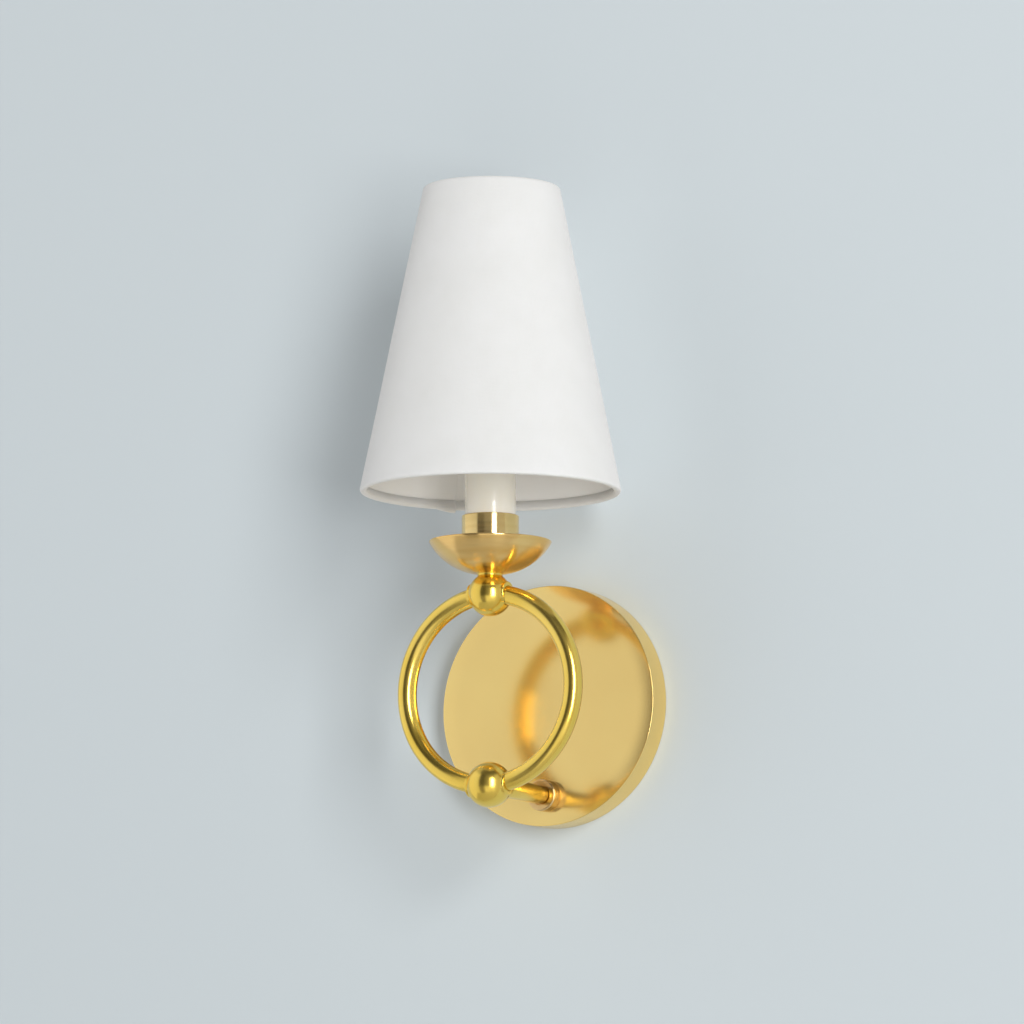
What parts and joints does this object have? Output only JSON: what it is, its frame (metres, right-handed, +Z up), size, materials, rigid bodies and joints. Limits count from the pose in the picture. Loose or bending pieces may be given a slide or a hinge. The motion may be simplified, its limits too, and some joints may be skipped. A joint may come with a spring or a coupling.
{
  "type": "wall light with fabric shade",
  "caption": "Wall light: round brass backplate, short arm, upright ring between two balls, candle lampholder in a drip cup, and a tapered fabric shade clipped on the bulb.",
  "frame": {"origin": "centre of the two box screws, on the wall plane behind the backplate", "axes": "+Z up, the wall is the plane y = 0, the light stands out from it towards -Y, +X to the right as seen from the room"},
  "size_m": [0.1298, 0.1354, 0.3135],
  "materials": {
    "satin_brass": "spun or turned brass, satin, clear lacquered",
    "polished_brass": "polished brass, clear lacquered",
    "plain_brass": "plain turned brass",
    "zinc_steel": "zinc plated steel",
    "earth_green": "green dyed steel screw",
    "cream_sleeve": "glossy cream moulded sleeve",
    "white_nylon": "natural nylon moulding",
    "black_phenolic": "black phenolic moulding",
    "black_insulation": "insulated wire",
    "white_insulation": "insulated wire",
    "green_insulation": "insulated wire",
    "lamp_cap": "rolled thread lamp cap and solder tip",
    "black_glass": "black glass insulator",
    "clear_glass": "clear blown glass",
    "filament": "yellow filament rods",
    "plated_wire": "plated steel wire",
    "shade_linen": "white woven linen",
    "shade_backing": "white laminate backing"
  },
  "bodies": {
    "root": {"backplate": "satin_brass", "arm_collar": "satin_brass", "drip_cup": "satin_brass", "candle_collar": "satin_brass", "arm_tube": "polished_brass", "lower_ball": "polished_brass", "ring_right": "polished_brass", "ring_left": "polished_brass", "upper_ball": "polished_brass", "neck_spacer": "polished_brass", "rim_screw": "plain_brass", "earth_lug": "plain_brass", "lampholder_contact": "plain_brass", "lampholder_shell": "plain_brass", "terminal_screws": "plain_brass", "mounting_strap": "zinc_steel", "plate_catch": "zinc_steel", "arm_washer": "zinc_steel", "arm_nut": "zinc_steel", "threaded_rod": "zinc_steel", "lock_nut": "zinc_steel", "bracket_nut": "zinc_steel", "lampholder_bracket": "zinc_steel", "lampholder_rivet": "zinc_steel", "block_screw": "zinc_steel", "earth_screw": "earth_green", "candle_sleeve": "cream_sleeve", "terminal_block": "white_nylon", "arm_bushing": "white_nylon", "lampholder_body": "black_phenolic", "live_wire": "black_insulation", "neutral_wire": "white_insulation", "earth_wire": "green_insulation"},
    "bulb_carrier": {"bulb_contact": "lamp_cap"},
    "bulb": {"bulb_insulator": "black_glass", "bulb_base": "lamp_cap", "bulb_glass": "clear_glass", "bulb_stem": "clear_glass", "bulb_filament": "filament"},
    "clip": {"clip_loops": "plated_wire", "clip_sleeve": "plated_wire"},
    "shade": {"shade_fabric": "shade_linen", "shade_liner": "shade_backing", "shade_top_hem": "shade_linen", "shade_bottom_hem": "shade_linen", "shade_top_ring": "plated_wire", "shade_bottom_ring": "plated_wire", "shade_spider": "plated_wire"}
  },
  "joints": [
    {"name": "bulb_rise", "type": "slide", "parent": "root", "child": "bulb_carrier", "axis": [0, 0, 1], "range_m": [0, 0.0127]},
    {"name": "bulb_turn", "type": "hinge", "parent": "bulb_carrier", "child": "bulb", "pos_m": [0, -0.0705, 0.13], "axis": [0, 0, 1], "range_deg": [0, 1800]},
    {"name": "shade_lift", "type": "slide", "parent": "bulb", "child": "clip", "axis": [0, 0, 1], "range_m": [0, 0.13]},
    {"name": "shade_tilt", "type": "hinge", "parent": "clip", "child": "shade", "pos_m": [0, -0.0705, 0.23297], "axis": [0, 1, 0], "range_deg": [-15, 15]}
  ],
  "couplings": [
    {"joint": "bulb_rise", "follows": "bulb_turn", "m_per_rad": 0.00040425}
  ]
}
